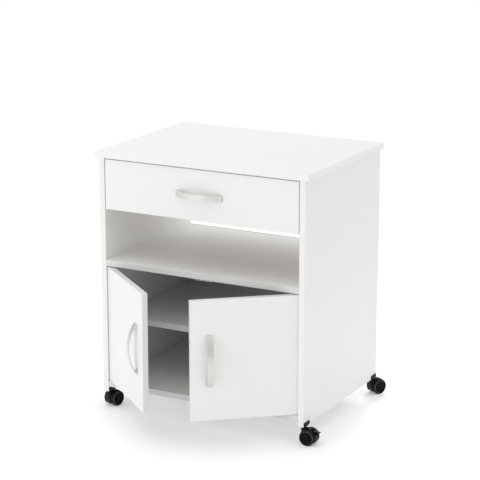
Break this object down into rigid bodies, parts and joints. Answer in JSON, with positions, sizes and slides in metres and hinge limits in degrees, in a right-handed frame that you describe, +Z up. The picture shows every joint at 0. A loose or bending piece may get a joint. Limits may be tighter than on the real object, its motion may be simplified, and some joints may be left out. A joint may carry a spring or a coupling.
{
  "type": "microwave cart",
  "caption": "White rolling kitchen cart: overhanging top, shallow drawer, open niche and a two-door cupboard with a shelf, on twin-wheel casters.",
  "frame": {"origin": "on the floor, midway between the four caster stems", "axes": "+X to the right seen from the front, -Y out of the front, +Z up"},
  "size_m": [0.6385, 0.6323, 0.68],
  "materials": {
    "white_board": "white melamine-faced particleboard, satin",
    "white_hardboard": "white-faced hardboard, satin",
    "satin_nickel": "satin nickel plate",
    "zinc_steel": "bright zinc plate",
    "rail_white": "white epoxy coating, satin",
    "white_nylon": "natural white nylon",
    "magnet_steel": "dark ground ferrite and steel",
    "black_steel": "black coating, satin",
    "black_plastic": "black moulded plastic, semi-gloss",
    "wheel_black": "black nylon, satin",
    "beech": "raw fluted beech"
  },
  "bodies": {
    "carcass": {"top_panel": "white_board", "side_panel_left": "white_board", "side_panel_right": "white_board", "fixed_shelf": "white_board", "bottom_panel": "white_board", "back_panel": "white_hardboard", "adjustable_shelf": "white_board", "shelf_pins": "zinc_steel", "cam_locks": "zinc_steel", "cam_bolts": "zinc_steel", "dowels": "beech", "cabinet_rail_left": "rail_white", "cabinet_rail_right": "rail_white", "catch_housing": "white_nylon", "catch_magnets": "magnet_steel", "pivot_plates_left": "zinc_steel", "pivot_plates_right": "zinc_steel", "caster_brackets": "black_steel", "fixing_screws": "black_steel"},
    "drawer": {"drawer_front": "white_board", "drawer_side_left": "white_board", "drawer_side_right": "white_board", "drawer_back": "white_board", "drawer_bottom": "white_hardboard", "drawer_handle": "satin_nickel", "drawer_fittings": "zinc_steel", "drawer_rail_left": "rail_white", "drawer_rail_right": "rail_white"},
    "left_door": {"door_left": "white_board", "door_handle_left": "satin_nickel", "door_screws_left": "zinc_steel", "strike_plate_left": "zinc_steel", "pivot_bushes_left": "white_nylon"},
    "right_door": {"door_right": "white_board", "door_handle_right": "satin_nickel", "door_screws_right": "zinc_steel", "strike_plate_right": "zinc_steel", "pivot_bushes_right": "white_nylon"},
    "front_roller_left": {"cabinet_roller_left": "white_nylon"},
    "rear_roller_left": {"drawer_roller_left": "white_nylon"},
    "front_roller_right": {"cabinet_roller_right": "white_nylon"},
    "rear_roller_right": {"drawer_roller_right": "white_nylon"},
    "caster_front_left": {"caster_hood_front_left": "black_plastic", "caster_pins_front_left": "zinc_steel"},
    "wheel_inner_front_left_body": {"wheel_inner_front_left": "wheel_black"},
    "wheel_outer_front_left_body": {"wheel_outer_front_left": "wheel_black"},
    "caster_front_right": {"caster_hood_front_right": "black_plastic", "caster_pins_front_right": "zinc_steel"},
    "wheel_inner_front_right_body": {"wheel_inner_front_right": "wheel_black"},
    "wheel_outer_front_right_body": {"wheel_outer_front_right": "wheel_black"},
    "brake_front_right": {"brake_lever_front_right": "black_plastic"},
    "caster_rear_left": {"caster_hood_rear_left": "black_plastic", "caster_pins_rear_left": "zinc_steel"},
    "wheel_inner_rear_left_body": {"wheel_inner_rear_left": "wheel_black"},
    "wheel_outer_rear_left_body": {"wheel_outer_rear_left": "wheel_black"},
    "caster_rear_right": {"caster_hood_rear_right": "black_plastic", "caster_pins_rear_right": "zinc_steel"},
    "wheel_inner_rear_right_body": {"wheel_inner_rear_right": "wheel_black"},
    "wheel_outer_rear_right_body": {"wheel_outer_rear_right": "wheel_black"}
  },
  "joints": [
    {"name": "drawer_slide", "type": "slide", "parent": "carcass", "child": "drawer", "axis": [0, -1, 0], "range_m": [0, 0.26]},
    {"name": "left_door_hinge", "type": "hinge", "parent": "carcass", "child": "left_door", "pos_m": [-0.265, -0.2125, 0.2285], "axis": [0, 0, -1], "range_deg": [-40, 65]},
    {"name": "right_door_hinge", "type": "hinge", "parent": "carcass", "child": "right_door", "pos_m": [0.265, -0.2125, 0.2285], "axis": [0, 0, 1], "range_deg": [-40, 65]},
    {"name": "front_roller_spin_left", "type": "hinge", "parent": "carcass", "child": "front_roller_left", "pos_m": [-0.26775, -0.1885, 0.552], "axis": [1, 0, 0], "range_deg": [-10, 1880]},
    {"name": "rear_roller_spin_left", "type": "hinge", "parent": "drawer", "child": "rear_roller_left", "pos_m": [-0.26775, 0.1345, 0.5542], "axis": [1, 0, 0], "range_deg": [-10, 1880]},
    {"name": "front_roller_spin_right", "type": "hinge", "parent": "carcass", "child": "front_roller_right", "pos_m": [0.26775, -0.1885, 0.552], "axis": [1, 0, 0], "range_deg": [-10, 1880]},
    {"name": "rear_roller_spin_right", "type": "hinge", "parent": "drawer", "child": "rear_roller_right", "pos_m": [0.26775, 0.1345, 0.5542], "axis": [1, 0, 0], "range_deg": [-10, 1880]},
    {"name": "swivel_front_left", "type": "hinge", "parent": "carcass", "child": "caster_front_left", "pos_m": [-0.2815, -0.2049, 0.045], "axis": [0, 0, 1], "continuous": true},
    {"name": "wheel_inner_spin_front_left", "type": "hinge", "parent": "caster_front_left", "child": "wheel_inner_front_left_body", "pos_m": [-0.27669, -0.18755, 0.02], "axis": [-0.9636, 0.2672, 0], "continuous": true},
    {"name": "wheel_outer_spin_front_left", "type": "hinge", "parent": "caster_front_left", "child": "wheel_outer_front_left_body", "pos_m": [-0.27669, -0.18755, 0.02], "axis": [-0.9636, 0.2672, 0], "continuous": true},
    {"name": "swivel_front_right", "type": "hinge", "parent": "carcass", "child": "caster_front_right", "pos_m": [0.2815, -0.2049, 0.045], "axis": [0, 0, 1], "continuous": true},
    {"name": "wheel_inner_spin_front_right", "type": "hinge", "parent": "caster_front_right", "child": "wheel_inner_front_right_body", "pos_m": [0.29949, -0.20553, 0.02], "axis": [0.0349, 0.9994, 0], "continuous": true},
    {"name": "wheel_outer_spin_front_right", "type": "hinge", "parent": "caster_front_right", "child": "wheel_outer_front_right_body", "pos_m": [0.29949, -0.20553, 0.02], "axis": [0.0349, 0.9994, 0], "continuous": true},
    {"name": "brake_press_front_right", "type": "hinge", "parent": "caster_front_right", "child": "brake_front_right", "pos_m": [0.30948, -0.20588, 0.031], "axis": [0.0349, 0.9994, 0], "range_deg": [0, 12]},
    {"name": "swivel_rear_left", "type": "hinge", "parent": "carcass", "child": "caster_rear_left", "pos_m": [-0.2815, 0.2049, 0.045], "axis": [0, 0, 1], "continuous": true},
    {"name": "wheel_inner_spin_rear_left", "type": "hinge", "parent": "caster_rear_left", "child": "wheel_inner_rear_left_body", "pos_m": [-0.28766, 0.22181, 0.02], "axis": [-0.9397, -0.342, 0], "continuous": true},
    {"name": "wheel_outer_spin_rear_left", "type": "hinge", "parent": "caster_rear_left", "child": "wheel_outer_rear_left_body", "pos_m": [-0.28766, 0.22181, 0.02], "axis": [-0.9397, -0.342, 0], "continuous": true},
    {"name": "swivel_rear_right", "type": "hinge", "parent": "carcass", "child": "caster_rear_right", "pos_m": [0.2815, 0.2049, 0.045], "axis": [0, 0, 1], "continuous": true},
    {"name": "wheel_inner_spin_rear_right", "type": "hinge", "parent": "caster_rear_right", "child": "wheel_inner_rear_right_body", "pos_m": [0.28953, 0.22101, 0.02], "axis": [-0.8949, 0.4462, 0], "continuous": true},
    {"name": "wheel_outer_spin_rear_right", "type": "hinge", "parent": "caster_rear_right", "child": "wheel_outer_rear_right_body", "pos_m": [0.28953, 0.22101, 0.02], "axis": [-0.8949, 0.4462, 0], "continuous": true}
  ],
  "couplings": [
    {"joint": "front_roller_spin_left", "follows": "drawer_slide", "rad_per_m": 125},
    {"joint": "rear_roller_spin_left", "follows": "drawer_slide", "rad_per_m": 125},
    {"joint": "front_roller_spin_right", "follows": "drawer_slide", "rad_per_m": 125},
    {"joint": "rear_roller_spin_right", "follows": "drawer_slide", "rad_per_m": 125}
  ]
}
